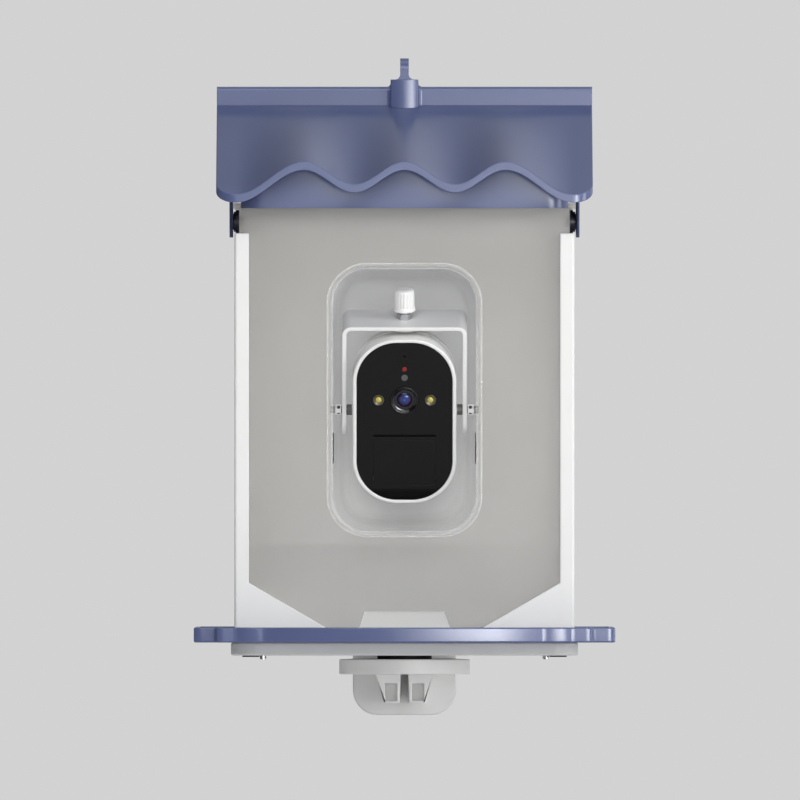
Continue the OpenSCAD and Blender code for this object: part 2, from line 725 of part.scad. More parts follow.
module lens_ring() {
    color([0.12, 0.12, 0.13]) cam_frame() translate([0, 0, lens_z]) difference() {
        bar_y(face_v - 0.3, face_v + 2.6, 7.6);
        bar_y(face_v - 1, face_v + 5, 5.6);
        translate([0, face_v - 0.31, 0]) rotate([-90, 0, 0]) cylinder(r1 = 6.8, r2 = 5.6, h = 1.5);
    }
}

module lens_barrel() {
    color([0.06, 0.06, 0.07]) cam_frame() translate([0, 0, lens_z]) difference() {
        bar_y(face_v + 1, -8.6, 5.55);
        bar_y(face_v, face_v + 1.6, 4.2);
    }
}

module front_lens() {
    color([0.25, 0.22, 0.4]) cam_frame() translate([0, 0, lens_z]) intersection() {
        translate([0, face_v + 7.2, 0]) sphere(7, $fn = 160);
        bar_y(face_v - 1, face_v + 1.6, 4.1, $fn = 160);
    }
}

module spot_lamps() {
    color([0.8, 0.72, 0.3]) cam_frame() for (x = [-lamp_x, lamp_x]) translate([x, 0, lens_z]) intersection() {
        translate([0, face_v + 5.9, 0]) sphere(6);
        bar_y(face_v - 1, face_v + 2.6, 3);
    }
}

module status_lamp() {
    color([0.6, 0.08, 0.06]) cam_frame() translate([0, 0, face_z(28.7)])
        bar_y(face_v + 0.3, face_v + 2.6, 1.3);
}

module light_sensor() {
    color([0.5, 0.5, 0.5]) cam_frame() translate([0, 0, face_z(24)]) bar_y(face_v + 0.3, face_v + 2.6, 1.8);
}

module motion_window() {
    color([0.04, 0.04, 0.04]) cam_frame() upright(face_v + 0.4, face_v + 2.2)
        translate([0, window_z]) rounded(34, 26, 3);
}

module motion_sensor() {
    color([0.6, 0.6, 0.58]) cam_frame() translate([0, 0, window_z]) bar_y(-13, -8.6, 4.1);
}

module main_board() {
    color([0.05, 0.3, 0.15]) cam_frame() upright(-8.6, -7) translate([0, -3]) rounded(44, 76, 18);
}

module battery_cell() {
    color([0.2, 0.3, 0.55]) cam_frame() translate([0, 5.8, cam_c - 32.5]) cylinder(r = 9.2, h = 65);
}

module speaker() {
    color([0.1, 0.1, 0.1]) cam_frame() translate([16.5, 0, -24]) bar_y(-7, -3.4, 7);
}

roof_shell();
ridge_cap();
ridge_screws();
hinge_pin_left();
hinge_pin_right();
hinge_pin_screws();
housing();
hopper_window();
camera_bay();
seed_ramp();
feeding_tray();
base_plate();
threaded_insert();
base_screws();
base_pads();
rubber_washer();
wall_bracket();
bracket_screw();
tilt_screws();
yoke();
mount_pad();
mount_insert();
thumb_knob();
thumb_stud();
jam_nut();
camera_body();
camera_back();
camera_face();
face_gasket();
lens_ring();
lens_barrel();
front_lens();
spot_lamps();
status_lamp();
light_sensor();
motion_window();
motion_sensor();
main_board();
battery_cell();
speaker();
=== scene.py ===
# Bird feeder with a camera: finishes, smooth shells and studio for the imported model. Metres, in the
# model's frame: the wall is the plane Y = 0, the front faces -Y, +Z is up.
import json
import math
import bmesh
import bpy
from mathutils import Matrix, Vector


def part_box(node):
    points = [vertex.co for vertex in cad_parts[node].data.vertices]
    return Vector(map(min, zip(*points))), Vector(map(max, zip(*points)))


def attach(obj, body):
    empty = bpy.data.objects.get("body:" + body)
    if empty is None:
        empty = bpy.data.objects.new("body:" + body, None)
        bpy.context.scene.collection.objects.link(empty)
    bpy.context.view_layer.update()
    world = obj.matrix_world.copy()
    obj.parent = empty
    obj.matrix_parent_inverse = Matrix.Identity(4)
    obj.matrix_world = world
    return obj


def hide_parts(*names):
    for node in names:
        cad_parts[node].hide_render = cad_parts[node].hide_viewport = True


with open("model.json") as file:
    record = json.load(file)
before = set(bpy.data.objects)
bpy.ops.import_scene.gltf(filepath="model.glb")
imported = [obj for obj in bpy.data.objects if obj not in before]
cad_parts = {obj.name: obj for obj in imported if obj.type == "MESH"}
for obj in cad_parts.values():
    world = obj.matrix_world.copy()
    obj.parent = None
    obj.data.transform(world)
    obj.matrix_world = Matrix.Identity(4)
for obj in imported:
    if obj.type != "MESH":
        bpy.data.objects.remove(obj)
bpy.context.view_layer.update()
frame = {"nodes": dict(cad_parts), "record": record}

MM = 0.001
joints = {j["name"]: j for j in frame["record"]["behaviour"]["joints"]}
slot_of = {s["node"]: s["material_slot"] for s in frame["record"]["subparts"]}
body_of = {n: b for b, nodes in frame["record"]["behaviour"]["bodies"].items() for n in nodes}


# Shapes used more than once

def mm(x, y, z):
    return Vector((x, y, z)) * MM


def verts_of(geom):
    return [g for g in geom if isinstance(g, bmesh.types.BMVert)]


def faces_of(geom):
    return [g for g in geom if isinstance(g, bmesh.types.BMFace)]


def pulled(bm, faces, by):
    """Extrudes faces along a vector and returns the faces that moved."""
    edges = list({e for f in faces for e in f.edges})
    out = bmesh.ops.extrude_face_region(bm, geom=faces + edges)["geom"]
    bmesh.ops.translate(bm, verts=verts_of(out), vec=by)
    return faces_of(out)


def rounded_edges(bm, edges, radius, segments=4):
    bmesh.ops.bevel(
        bm, geom=edges, offset=radius, offset_type="OFFSET", segments=segments, profile=0.5,
        affect="EDGES", clamp_overlap=True, material=-1)


def rounded_corners(bm, corners, radius, segments=20):
    bmesh.ops.bevel(
        bm, geom=corners, offset=radius, offset_type="OFFSET", segments=segments, profile=0.5,
        affect="VERTICES", clamp_overlap=True, material=-1)


def sharp_edges(bm, degrees=40):
    limit = math.radians(degrees)
    return [e for e in bm.edges if e.is_manifold and e.calc_face_angle() > limit]


def runs_of(bm, edges):
    """Edges sorted into runs that touch, so that a small hole doesn't limit how a long edge is rounded."""
    bm.edges.index_update()
    left = {e.index: e for e in edges}
    runs = []
    while left:
        ends = [left.pop(next(iter(left)))]
        run = []
        while ends:
            edge = ends.pop()
            run.append(edge)
            ends += [e for v in edge.verts for e in v.link_edges if left.pop(e.index, None)]
        runs.append(run)
    return runs


def pill_face(bm, width, height, radius, segments=20):
    """An upright face with round corners about the origin, facing the front."""
    made = bmesh.ops.create_grid(bm, x_segments=1, y_segments=1, size=0.5)
    turn = Matrix.Rotation(math.radians(90), 4, "X")
    bmesh.ops.transform(bm, matrix=turn @ Matrix.Diagonal((width, height, 1, 1)), verts=made["verts"])
    rounded_corners(bm, made["verts"], radius, segments)
    return max(bm.faces, key=lambda f: len(f.verts))


def drawn(bm, face, width, height, middle, profile):
    """Extrudes an upright face back through a profile of (depth, inset) steps and returns the last face."""
    cap = [face]
    before = (0, 0)
    for depth, inset in profile:
        cap = pulled(bm, cap, (0, depth - before[0], 0))
        narrower = (width - 2 * inset) / (width - 2 * before[1])
        lower = (height - 2 * inset) / (height - 2 * before[1])
        bmesh.ops.transform(
            bm, matrix=Matrix.Diagonal((narrower, 1, lower, 1)), space=Matrix.Translation((0, 0, -middle)),
            verts=list({v for f in cap for v in f.verts}))
        before = (depth, inset)
    return cap


def round_profile(depth, inset, radius, steps, start=0):
    """The last steps of a profile: a round corner of that radius, which may be flattened by its own inset."""
    angles = [math.pi / 2 * i / steps for i in range(1, steps + 1)]
    return [(depth + radius * math.sin(a), start + inset * (1 - math.cos(a))) for a in angles]


def turned(bm, profile, place, steps=64):
    """Turns a profile of (radius, depth) steps in millimetres about the place's own Y axis."""
    points = [bm.verts.new(place @ mm(radius, depth, 0)) for radius, depth in profile]
    edges = [bm.edges.new(pair) for pair in zip(points, points[1:])]
    bmesh.ops.spin(
        bm, geom=points + edges, cent=place.translation, axis=place.to_3x3() @ Vector((0, 1, 0)),
        angle=2 * math.pi, steps=steps, use_merge=True)


def finished(bm, name, node, finish, wall=0):
    """Turns a bmesh into a piece that stands for a node and rides on its body. A sheet gets a wall behind."""
    bmesh.ops.remove_doubles(bm, verts=bm.verts[:], dist=1e-6)
    if not wall:
        bmesh.ops.recalc_face_normals(bm, faces=bm.faces[:])
    mesh = bpy.data.meshes.new(name)
    bm.to_mesh(mesh)
    bm.free()
    mesh.shade_smooth()
    mesh.materials.append(finish)
    piece = bpy.data.objects.new(name, mesh)
    bpy.context.scene.collection.objects.link(piece)
    if wall:
        thick = piece.modifiers.new("wall", "SOLIDIFY")
        thick.thickness = wall
        thick.offset = -1
        thick.use_even_offset = True
        rim = piece.modifiers.new("soft_rim", "BEVEL")
        rim.width = 0.5 * MM
        rim.segments = 3
        rim.angle_limit = math.radians(60)
    even = piece.modifiers.new("even_normals", "WEIGHTED_NORMAL")
    even.keep_sharp = True
    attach(piece, body_of[node])
    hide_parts(node)
    return piece


def copied(node):
    """A node's mesh, with its flat faces whole."""
    bm = bmesh.new()
    bm.from_mesh(frame["nodes"][node].data)
    bmesh.ops.remove_doubles(bm, verts=bm.verts[:], dist=1e-6)
    bmesh.ops.dissolve_limit(bm, angle_limit=math.radians(0.5), verts=bm.verts[:], edges=bm.edges[:])
    return bm


def soften(bm, radius, degrees=40, segments=3):
    """Rounds the sharp edges, each run of them for itself."""
    for run in runs_of(bm, sharp_edges(bm, degrees)):
        rounded_edges(bm, [e for e in run if e.is_valid], radius, segments)


def softened(node, radius, finish, degrees=40, segments=3):
    """A copy of a node with its sharp moulded edges rounded."""
    bm = copied(node)
    soften(bm, radius, degrees, segments)
    return finished(bm, node + "_soft", node, finish)


# Finishes

noise_low, noise_high = 0.3, 0.7


def shader(name):
    """A new material with its node tree, its surface shader and an object coordinate."""
    material = bpy.data.materials.new(name)
    material.use_nodes = True
    tree = material.node_tree
    coords = tree.nodes.new("ShaderNodeTexCoord")
    return material, tree, tree.nodes["Principled BSDF"], coords.outputs["Object"]


def noise(tree, coords, grain, detail=2.0):
    """Noise whose grain is a length on the piece."""
    node = tree.nodes.new("ShaderNodeTexNoise")
    node.inputs["Scale"].default_value = 1 / grain
    node.inputs["Detail"].default_value = detail
    tree.links.new(coords, node.inputs["Vector"])
    return node.outputs["Fac"]


def ranged(tree, value, low, high):
    """A noise value spread over a range."""
    node = tree.nodes.new("ShaderNodeMapRange")
    node.inputs["From Min"].default_value = noise_low
    node.inputs["From Max"].default_value = noise_high
    node.inputs["To Min"].default_value = low
    node.inputs["To Max"].default_value = high
    tree.links.new(value, node.inputs["Value"])
    return node.outputs["Result"]


def blended(tree, value, first, second):
    """Two colours mixed by a noise value."""
    node = tree.nodes.new("ShaderNodeValToRGB")
    stops = ((noise_low, first), (noise_high, second))
    for element, (position, color) in zip(node.color_ramp.elements, stops):
        element.position = position
        element.color = (*color, 1)
    tree.links.new(value, node.inputs["Fac"])
    return node.outputs["Color"]


def moulded(name, color, roughness, drift=0.06, grain=0.7 * MM, bump=0.05, edge=0.35 * MM, **sockets):
    """Moulded or turned material: a slow drift of colour, uneven gloss, a fine grain and softened edges."""
    material, tree, surface, coords = shader(name)
    darker = [c * (1 - drift) for c in color]
    slow = noise(tree, coords, 60 * MM)
    tree.links.new(blended(tree, slow, darker, color), surface.inputs["Base Color"])
    patches = noise(tree, coords, 14 * MM, 4.0)
    tree.links.new(ranged(tree, patches, roughness * 0.88, roughness * 1.12), surface.inputs["Roughness"])
    soft = tree.nodes.new("ShaderNodeBevel")
    soft.samples = 4
    soft.inputs["Radius"].default_value = edge
    relief = tree.nodes.new("ShaderNodeBump")
    relief.inputs["Strength"].default_value = bump
    relief.inputs["Distance"].default_value = 0.1 * MM
    tree.links.new(noise(tree, coords, grain, 3.0), relief.inputs["Height"])
    tree.links.new(soft.outputs["Normal"], relief.inputs["Normal"])
    tree.links.new(relief.outputs["Normal"], surface.inputs["Normal"])
    for socket, value in sockets.items():
        surface.inputs[socket.replace("_", " ")].default_value = value
    return material


def clear_moulding(name, color, low, high):
    """Clear plastic: partly see-through face on, closer where it is seen along its walls. It lets through the
    light of the lamps and what the pieces behind it throw on each other."""
    material, tree, surface, coords = shader(name)
    cloudy = noise(tree, coords, 45 * MM)
    tree.links.new(blended(tree, cloudy, [c * 0.96 for c in color], color), surface.inputs["Base Color"])
    tree.links.new(ranged(tree, noise(tree, coords, 20 * MM), 0.06, 0.10), surface.inputs["Roughness"])
    side_on = tree.nodes.new("ShaderNodeLayerWeight")
    side_on.inputs["Blend"].default_value = 0.35
    cover = tree.nodes.new("ShaderNodeMapRange")
    cover.inputs["To Min"].default_value = low
    cover.inputs["To Max"].default_value = high
    tree.links.new(side_on.outputs["Facing"], cover.inputs["Value"])
    ray = tree.nodes.new("ShaderNodeLightPath")
    closed = cover.outputs["Result"]
    for light in ("Is Shadow Ray", "Is Diffuse Ray"):
        passed = tree.nodes.new("ShaderNodeMath")
        passed.operation = "SUBTRACT"
        passed.use_clamp = True
        tree.links.new(closed, passed.inputs[0])
        tree.links.new(ray.outputs[light], passed.inputs[1])
        closed = passed.outputs[0]
    tree.links.new(closed, surface.inputs["Alpha"])
    surface.inputs["IOR"].default_value = 1.49
    return material


def lens_painted_reflection(name, lens_centre):
    """Coated glass with painted reflection: a bright blue middle as a highlight, violet round it, dark at the
    rim.
    """
    material, tree, surface, coords = shader(name)
    place = tree.nodes.new("ShaderNodeMapping")
    place.vector_type = "TEXTURE"
    place.inputs["Location"].default_value = lens_centre
    place.inputs["Scale"].default_value = (4.2 * MM, 4.2 * MM, 4.2 * MM)
    tree.links.new(coords, place.inputs["Vector"])
    rings = tree.nodes.new("ShaderNodeTexGradient")
    rings.gradient_type = "SPHERICAL"
    tree.links.new(place.outputs["Vector"], rings.inputs["Vector"])
    ramp = tree.nodes.new("ShaderNodeValToRGB")
    stops = [(0.0, (0.004, 0.004, 0.008)), (0.25, (0.03, 0.012, 0.05)), (0.45, (0.07, 0.04, 0.16)),
             (0.62, (0.02, 0.05, 0.15)), (0.8, (0.06, 0.2, 0.5)), (0.95, (0.2, 0.5, 0.85))]
    while len(ramp.color_ramp.elements) < len(stops):
        ramp.color_ramp.elements.new(0.5)
    for element, (position, color) in zip(ramp.color_ramp.elements, stops):
        element.position = position
        element.color = (*color, 1)
    tree.links.new(rings.outputs["Fac"], ramp.inputs["Fac"])
    tree.links.new(ramp.outputs["Color"], surface.inputs["Base Color"])
    surface.inputs["Roughness"].default_value = 0.05
    surface.inputs["IOR"].default_value = 1.5
    surface.inputs["Specular Tint"].default_value = (0.3, 0.6, 1, 1)
    return material


lens_lo, lens_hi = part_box("front_lens")
blue = (0.103, 0.129, 0.262)
# A whiter white than the housing's, for the yoke, knob and bracket that sit in shade: painted light.
painted_light_white = (0.88, 0.88, 0.87)
finishes = {
    "roof_blue": moulded("roof_blue", blue, 0.22, IOR=1.47),
    "tray_blue": moulded("tray_blue", blue, 0.18, IOR=1.47),
    "hinge_dark": moulded("hinge_dark", (0.012, 0.012, 0.028), 0.3),
    "white_plastic": moulded("white_plastic", (0.80, 0.80, 0.79), 0.45, drift=0.02),
    "white_mount": moulded("white_mount", painted_light_white, 0.4, drift=0.02),
    # The camera's white is raised above the housing's to make up for the shade in the bay: painted light.
    "white_camera": moulded("white_camera", (0.9, 0.9, 0.89), 0.25, drift=0.02),
    # The window's grey cover is a smoke tint that also stands in for the dim hopper behind it: painted shade.
    "clear_plastic": clear_moulding("clear_plastic", (0.39, 0.38, 0.357), 0.54, 0.68),
    "black_gloss": moulded("black_gloss", (0.007, 0.007, 0.007), 0.16, bump=0.0, Specular_IOR_Level=0.22),
    "black_trim": moulded("black_trim", (0.008, 0.008, 0.009), 0.3),
    "black_rubber": moulded("black_rubber", (0.008, 0.008, 0.008), 0.7, bump=0.2),
    "steel": moulded("steel", (0.52, 0.53, 0.55), 0.28, grain=0.25 * MM, Metallic=1.0),
    "brass": moulded("brass", (0.62, 0.42, 0.13), 0.3, grain=0.25 * MM, Metallic=1.0),
    "lens_glass": lens_painted_reflection("lens_glass", (lens_lo + lens_hi) / 2),
    "lamp_amber": moulded("lamp_amber", (0.62, 0.52, 0.10), 0.2),
    "lamp_red": moulded("lamp_red", (0.26, 0.01, 0.012), 0.25),
    "sensor_grey": moulded("sensor_grey", (0.10, 0.10, 0.10), 0.3),
    "board_green": moulded("board_green", (0.012, 0.09, 0.035), 0.4),
    "cell_wrap": moulded("cell_wrap", (0.03, 0.06, 0.2), 0.3),
}
# The bay's pale cover lifts the bay where the camera shades it: painted light.
bay_painted_light = clear_moulding("bay_painted_light", (0.92, 0.915, 0.895), 0.14, 0.24)
# Pale rings on the lip's edges: painted highlights.
lip_painted_highlight = clear_moulding("lip_painted_highlight", (0.9, 0.895, 0.88), 0.2, 0.5)
# The bracket takes the whiter white: painted light under the tray and arm.
bracket_painted_light = moulded("bracket_painted_light", painted_light_white, 0.45, drift=0.02)
dull_steel = moulded("dull_steel", (0.16, 0.16, 0.155), 0.5, grain=0.25 * MM)
ring_metal = moulded("ring_metal", (0.06, 0.06, 0.063), 0.2, bump=0.0, Metallic=1.0)
chin_black_and_slit_shade = moulded("chin_black_and_slit_shade", (0.003, 0.003, 0.003), 0.3, bump=0.0, Specular_IOR_Level=0.1)
olive = moulded("olive", (0.10, 0.095, 0.055), 0.3)
# The seed ramp is whiter than the housing so its shaded edge doesn't show through the window: painted light.
ramp_painted_light = moulded("ramp_painted_light", (0.86, 0.86, 0.85), 0.45, drift=0.02)
own_finish = {"tilt_screws": dull_steel, "seed_ramp": ramp_painted_light}
for node, piece in frame["nodes"].items():
    for material_slot in piece.material_slots:
        material_slot.material = own_finish.get(node, finishes[slot_of[node]])


# Roof lid: a corrugated sheet whose waves fade to the ridge, a skirt under its front and two gables

hinge = Vector(joints["lid_hinge"]["pos_m"])
roof_lo, roof_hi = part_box("roof_shell")
ridge_z = roof_hi.z
roof_half = roof_hi.x
eave_front = hinge.y - roof_lo.y
ridge_half = 3 * MM
wave_pitch = 55.3 * MM
wave_height = 12.4 * MM
crest_drop = 31.9 * MM
outer_drop = 49.8 * MM
outer_x = 92.7 * MM
sheet_thick = 4.8 * MM
skirt_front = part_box("hopper_window")[0].y - 13 * MM
skirt_foot = hinge.z + 6.9 * MM


def eave_drop(x):
    """How far the front eave lies below the ridge at x."""
    x = abs(x)
    if x <= wave_pitch:
        return crest_drop + wave_height / 2 * (1 - math.cos(2 * math.pi * x / wave_pitch))
    turn = math.pi * min(1, (x - wave_pitch) / (outer_x - wave_pitch))
    return crest_drop + (outer_drop - crest_drop) / 2 * (1 - math.cos(turn))


def sheet_top(x, y):
    """Height of the sheet's upper face."""
    away = max(0, abs(y - hinge.y) - ridge_half) / (eave_front - ridge_half)
    return ridge_z - eave_drop(x) * away


def add_sheet(bm):
    """A flat slab with round corners and soft edges, sliced finely and then lowered to the waves."""
    middle = (roof_lo + roof_hi) / 2
    size = (roof_hi.x - roof_lo.x, roof_hi.y - roof_lo.y, 1, 1)
    slab = bmesh.ops.create_grid(bm, x_segments=1, y_segments=1, size=0.5)["verts"]
    place = Matrix.Translation((middle.x, middle.y, 0)) @ Matrix.Diagonal(size)
    bmesh.ops.transform(bm, matrix=place, verts=slab)
    rounded_corners(bm, slab, roof_half - outer_x, 14)
    pulled(bm, bm.faces[:], (0, 0, -sheet_thick))
    bmesh.ops.recalc_face_normals(bm, faces=bm.faces[:])
    rounded_edges(bm, sharp_edges(bm, 55), 0.5 * MM)
    row_pitch = 13 * MM
    rows = [hinge.y + side * (ridge_half + step * row_pitch) for side in (-1, 1) for step in range(7)]
    slices = 150
    cuts = [((0, y, 0), (0, 1, 0)) for y in rows]
    cuts += [((roof_half * (2 * i / slices - 1), 0, 0), (1, 0, 0)) for i in range(1, slices)]
    for point, normal in cuts:
        everything = bm.verts[:] + bm.edges[:] + bm.faces[:]
        bmesh.ops.bisect_plane(bm, geom=everything, plane_co=point, plane_no=normal)
    for v in bm.verts:
        v.co.z += sheet_top(v.co.x, v.co.y)


def add_skirt(bm):
    """An upright strip under the front eave, bent back at both ends."""
    half = 90 * MM
    radius = 11 * MM
    overlap = 1 * MM
    straight = half - radius
    length = straight + radius * math.pi / 2
    strip = bmesh.ops.create_grid(bm, x_segments=140, y_segments=1, size=1)["verts"]
    for v in strip:
        run = abs(v.co.x) * length
        turn = max(0, run - straight) / radius
        x = math.copysign(min(run, straight) + radius * math.sin(turn), v.co.x)
        y = skirt_front + radius * (1 - math.cos(turn))
        top = sheet_top(x, y) - sheet_thick + overlap
        v.co = (x, y, top if v.co.y > 0 else skirt_foot)
    bm.normal_update()
    faces = list({f for v in strip for f in v.link_faces})
    bmesh.ops.solidify(bm, geom=faces, thickness=2 * MM)


def add_gables(bm):
    """The closed ends of the lid, each with a round ear on its hinge pin. The outline is in millimetres from
    the pin."""
    ear = 8.7
    rise = (ridge_z - hinge.z) / MM
    outline = [
        (-ear, -ear), (-ear, 0), (-15, 16), (-66, rise - 40), (-66, rise - 35.8), (-6, rise - 2.4),
        (6, rise - 2.4), (60, rise - 32.5), (60, rise - 36.5), (15, 16), (ear, 0), (ear, -ear)]
    inner, gable_thick = 94.5, 2
    for side in (-1, 1):
        corners = [bm.verts.new(mm(side * inner, y, z) + Vector((0, hinge.y, hinge.z))) for y, z in outline]
        face = bm.faces.new(corners)
        pulled(bm, [face], mm(side * gable_thick, 0, 0))
        foot = [e for e in bm.edges if all(v.co.z < hinge.z - 8 * MM for v in e.verts)
                and abs(e.verts[0].co.x - e.verts[1].co.x) > 1 * MM and e.verts[0].co.x * side > 0]
        rounded_edges(bm, foot, 8.6 * MM, 14)


def roof_lid():
    bm = bmesh.new()
    add_sheet(bm)
    add_skirt(bm)
    add_gables(bm)
    finished(bm, "roof_lid", "roof_shell", finishes["roof_blue"])


roof_lid()
softened("ridge_cap", 0.6 * MM, finishes["roof_blue"])


# Body, tray and base

softened("housing", 0.5 * MM, finishes["white_plastic"])
softened("feeding_tray", 0.9 * MM, finishes["tray_blue"])
softened("base_plate", 1.2 * MM, finishes["white_plastic"])
softened("wall_bracket", 0.8 * MM, bracket_painted_light)


def rib_webs():
    """A web that closes the channel of each of the bracket's ribs a little behind its mouth."""
    bm = bmesh.new()
    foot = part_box("wall_bracket")[0].z
    for side in (-1, 1):
        corners = [bm.verts.new(mm(side * 4.1, y, z) + Vector((0, 0, foot)))
                   for y, z in ((-85, 18), (-8, 18), (-8, 8), (-84, 8))]
        pulled(bm, [bm.faces.new(corners)], mm(side * 6.7, 0, 0))
    rounded_edges(bm, sharp_edges(bm), 0.2 * MM, 2)
    finished(bm, "rib_webs", "wall_bracket", bracket_painted_light)


rib_webs()


# Camera bay: a lip in front of the window, drafted walls and a soft corner at the back

tilt = Vector(joints["camera_tilt"]["pos_m"])
bay_lo, bay_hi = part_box("camera_bay")
bay_w = bay_hi.x - bay_lo.x
bay_h = bay_hi.z - bay_lo.z
bay_z = (bay_lo.z + bay_hi.z) / 2
bay_corner = 22.3
bay_wall = 1.6 * MM
bay_lip = 3.3 * MM
bay_draft = 5.4 * MM
bay_soft = 5 * MM
bay_depth = bay_hi.y - bay_wall - bay_lo.y


def camera_bay():
    bm = bmesh.new()
    face = pill_face(bm, bay_w, bay_h, bay_corner * MM)
    bmesh.ops.translate(bm, verts=bm.verts[:], vec=(0, bay_lo.y, bay_z))
    bmesh.ops.inset_region(bm, faces=[face], thickness=bay_lip, use_even_offset=True, use_boundary=True)
    straight = bay_depth - bay_soft
    profile = [(straight, bay_draft)] + round_profile(straight, bay_soft, bay_soft, 6, bay_draft)
    drawn(bm, face, bay_w - 2 * bay_lip, bay_h - 2 * bay_lip, bay_z, profile)
    finished(bm, "bay_pocket", "camera_bay", bay_painted_light, bay_wall)


def bay_lip_highlights():
    """Two thin pale rings on the lip's outer and inner edges: painted highlights where the edges catch the
    light.
    """
    line = 0.5 * MM
    bm = bmesh.new()
    for inset in (0.4, 3.1):
        ring = bmesh.new()
        around = 2 * inset * MM
        face = pill_face(ring, bay_w - around, bay_h - around, (bay_corner - inset) * MM)
        bmesh.ops.inset_region(ring, faces=[face], thickness=line, use_even_offset=True, use_boundary=True)
        bmesh.ops.delete(ring, geom=[face], context="FACES_ONLY")
        pulled(ring, ring.faces[:], (0, -0.12 * MM, 0))
        bmesh.ops.translate(ring, verts=ring.verts[:], vec=(0, bay_lo.y, bay_z))
        mesh = bpy.data.meshes.new("lip_ring")
        ring.to_mesh(mesh)
        ring.free()
        bm.from_mesh(mesh)
        bpy.data.meshes.remove(mesh)
    finished(bm, "bay_lip_highlights", "camera_bay", lip_painted_highlight)


def bay_bosses():
    """The square bosses that hold the tilt screws, with two thin black discs in front as painted shade of
    holes.
    """
    bm = bmesh.new()
    hole_shade = bmesh.new()
    flat = Matrix.Rotation(math.radians(90), 4, "X")
    boss_x, boss_w, boss_h = 36.5, 3.4 * MM, 5.8 * MM
    for side in (-1, 1):
        block = bmesh.ops.create_cube(bm, size=1)["verts"]
        place = Matrix.Translation(tilt + mm(side * boss_x, 0, 0))
        bmesh.ops.transform(bm, matrix=place @ Matrix.Diagonal((boss_w, boss_h, boss_h, 1)), verts=block)
        for up, wide, high in ((1.3, 0.95, 0.95), (-2.1, 0.85, 0.4)):
            dot = bmesh.ops.create_cone(
                hole_shade, cap_ends=True, segments=24, radius1=1, radius2=1, depth=1)["verts"]
            spot = place @ Matrix.Translation(mm(-side * 0.2, -2.9, up))
            shape = Matrix.Diagonal((wide * MM, 0.1 * MM, high * MM, 1))
            bmesh.ops.transform(hole_shade, matrix=spot @ shape @ flat, verts=dot)
    rounded_edges(bm, sharp_edges(bm, 60), 0.4 * MM, 3)
    finished(bm, "bay_bosses", "camera_bay", finishes["white_plastic"])
    finished(hole_shade, "boss_hole_shade", "camera_bay", finishes["black_trim"])


def bay_slot_shade():
    """Thin black bars in the bay's sides: painted shade of narrow upright slots, seen as dark lines."""
    bm = bmesh.new()
    for side in (-1, 1):
        slot = bmesh.ops.create_cube(bm, size=1)["verts"]
        for v in slot:
            out, back, up = v.co.x * 0.3 * MM, 8 * MM + v.co.y * 6 * MM, v.co.z * 17 * MM - 21.2 * MM
            wall = bay_hi.x - bay_lip - bay_draft * back / (bay_depth - bay_soft)
            v.co = (side * (wall + out), bay_lo.y + back, tilt.z + up)
    finished(bm, "bay_slot_shade", "camera_bay", finishes["black_trim"])


camera_bay()
bay_lip_highlights()
bay_bosses()
bay_slot_shade()


# Camera: new shapes are drawn level about the tilt axis and then tilted down

looks_down = math.radians(18)
tilted = Matrix.Translation(tilt) @ Matrix.Rotation(looks_down, 4, "X")
camera_w = 57 * MM
camera_h = 94.6 * MM
camera_mid = -0.9 * MM
corner = 24.5 * MM
face_y = -19 * MM
seam_y = -5 * MM
lens_up = 11.4


def camera_rim():
    """The white rim round the face plate, with the boss on top that takes the knob's stud."""
    rim_wall, open_h = 2.1 * MM, 90.7 * MM
    boss_radius, boss_height, boss_up = 8 * MM, 9.8 * MM, 42.9
    bm = bmesh.new()
    face = pill_face(bm, camera_w, camera_h, corner, 32)
    bmesh.ops.translate(bm, verts=bm.verts[:], vec=(0, seam_y, camera_mid))
    bmesh.ops.inset_region(bm, faces=[face], thickness=rim_wall, use_even_offset=True, use_boundary=True)
    opening = Matrix.Diagonal((1, 1, open_h / (camera_h - 2 * rim_wall), 1))
    from_middle = Matrix.Translation((0, 0, -camera_mid))
    bmesh.ops.transform(bm, matrix=opening, space=from_middle, verts=face.verts[:])
    bmesh.ops.delete(bm, geom=[face], context="FACES_ONLY")
    pulled(bm, bm.faces[:], (0, face_y - seam_y, 0))
    rounded_edges(bm, sharp_edges(bm, 60), 0.7 * MM)
    boss = bmesh.ops.create_cone(
        bm, cap_ends=True, segments=64, radius1=boss_radius, radius2=boss_radius, depth=boss_height)["verts"]
    bmesh.ops.translate(bm, verts=boss, vec=mm(0, 0, boss_up))
    bmesh.ops.transform(bm, matrix=tilted, verts=bm.verts[:])
    finished(bm, "camera_rim", "camera_body", finishes["white_camera"])


def camera_dome():
    """The rounded back cover."""
    dome_inset, dome_depth = 19 * MM, 29 * MM
    bm = bmesh.new()
    face = pill_face(bm, camera_w, camera_h, corner, 32)
    bmesh.ops.translate(bm, verts=bm.verts[:], vec=(0, seam_y, camera_mid))
    drawn(bm, face, camera_w, camera_h, camera_mid, round_profile(0, dome_inset, dome_depth, 14))
    bmesh.ops.transform(bm, matrix=tilted, verts=bm.verts[:])
    finished(bm, "camera_dome", "camera_back", finishes["white_camera"])


def lens_ring():
    bm = bmesh.new()
    profile = [
        (5.6, -16.4), (7.6, -16.4), (7.6, -19.1), (7.5, -19.25), (7.3, -19.3), (6.9, -19.05),
        (6.8, -18.6), (6.7, -18.3), (5.7, -18), (5.6, -17.9), (5.6, -16.4)]
    turned(bm, profile, tilted @ Matrix.Translation(mm(0, 0, lens_up)))
    finished(bm, "lens_ring_turned", "lens_ring", ring_metal)


